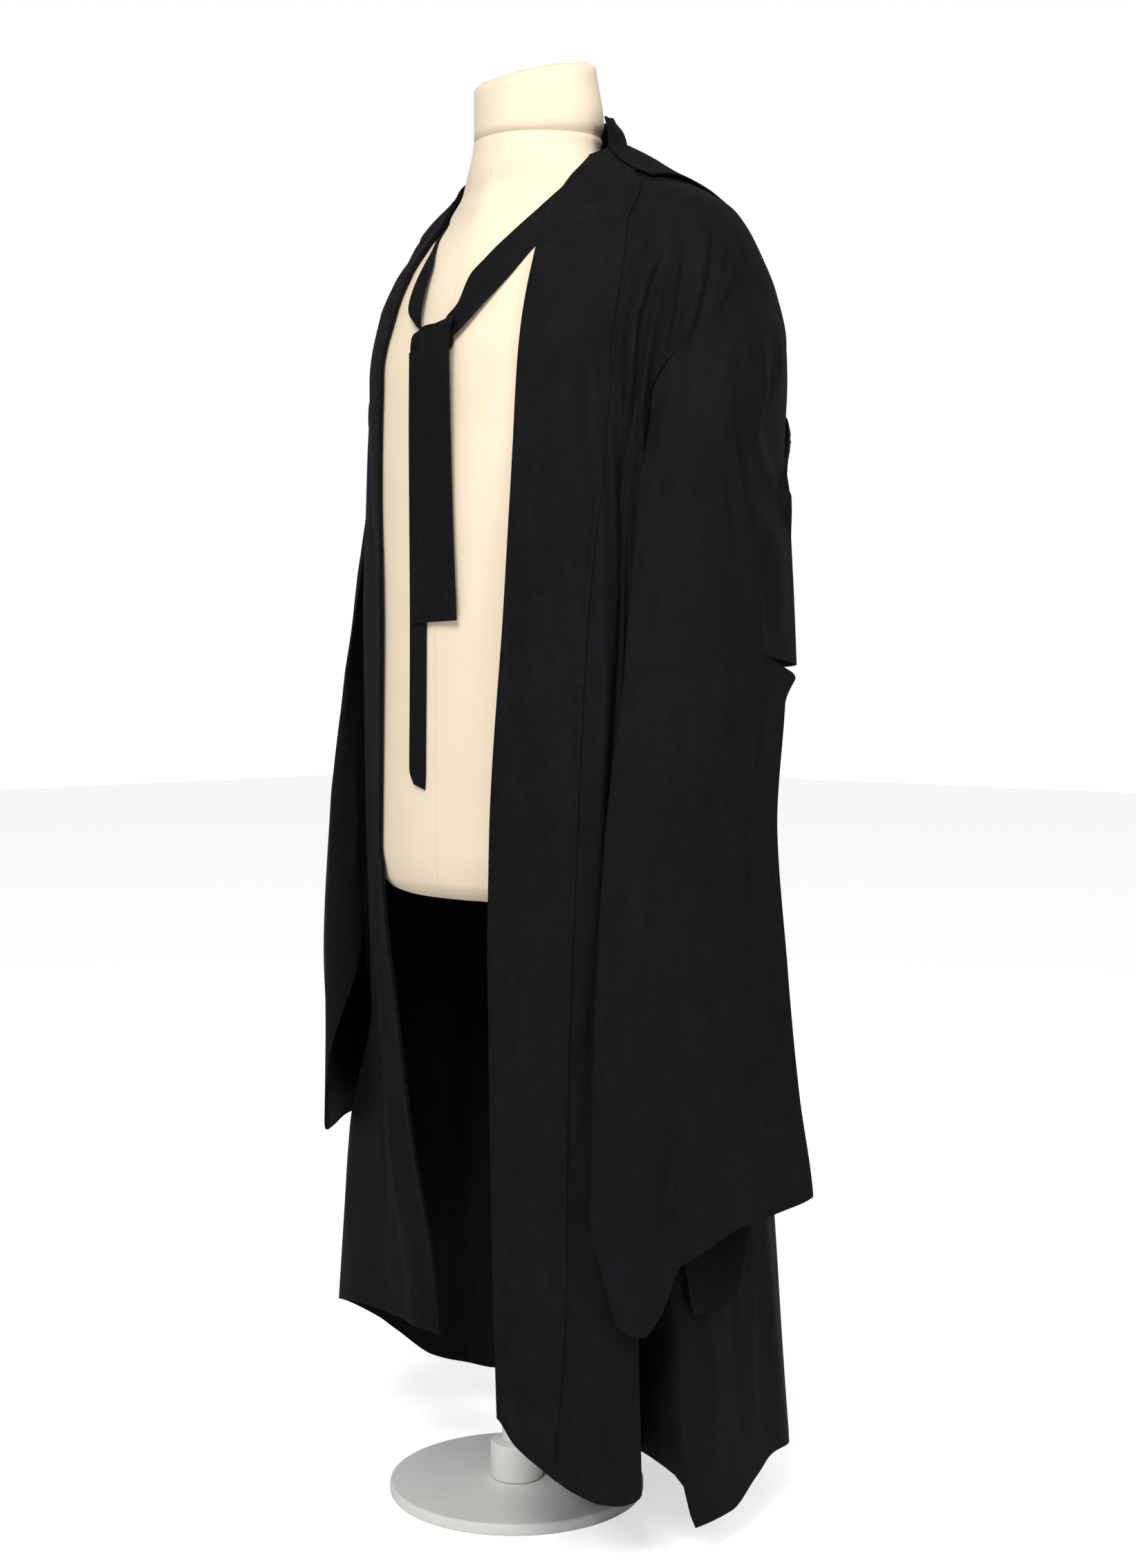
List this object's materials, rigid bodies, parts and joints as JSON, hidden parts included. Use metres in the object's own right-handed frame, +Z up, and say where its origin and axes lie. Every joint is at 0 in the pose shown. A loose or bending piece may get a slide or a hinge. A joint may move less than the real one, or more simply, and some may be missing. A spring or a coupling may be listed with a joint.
{
  "type": "judge robe on a limbless dress form with a pole stand",
  "caption": "Long open gown with deep split sleeves, front facings, a square flap collar and a loosely knotted tie, worn on a limbless dress form on a pole stand.",
  "frame": {"origin": "on the floor under the pole, at the middle of the stand base's underside", "axes": "+Z up; the wearer faces -Y; the wearer's left is +X"},
  "size_m": [0.6264, 0.4426, 1.4512],
  "materials": {
    "gown_cloth": "matte black woven suiting",
    "form_jersey": "matte cream jersey",
    "stand_metal": "satin pale enamel"
  },
  "bodies": {
    "root": {"left_front": "gown_cloth", "left_facing": "gown_cloth", "left_sleeve_upper": "gown_cloth", "left_sleeve_lower": "gown_cloth", "right_front": "gown_cloth", "right_facing": "gown_cloth", "right_sleeve_upper": "gown_cloth", "right_sleeve_lower": "gown_cloth", "back_panel": "gown_cloth", "flap_collar": "gown_cloth", "neck_band": "gown_cloth", "tie_left_strap": "gown_cloth", "tie_right_strap": "gown_cloth", "tie_knot": "gown_cloth", "tie_wide_end": "gown_cloth", "tie_narrow_end": "gown_cloth", "dress_form": "form_jersey", "stand_base": "stand_metal", "stand_socket": "stand_metal", "stand_pole": "stand_metal"}
  },
  "joints": []
}
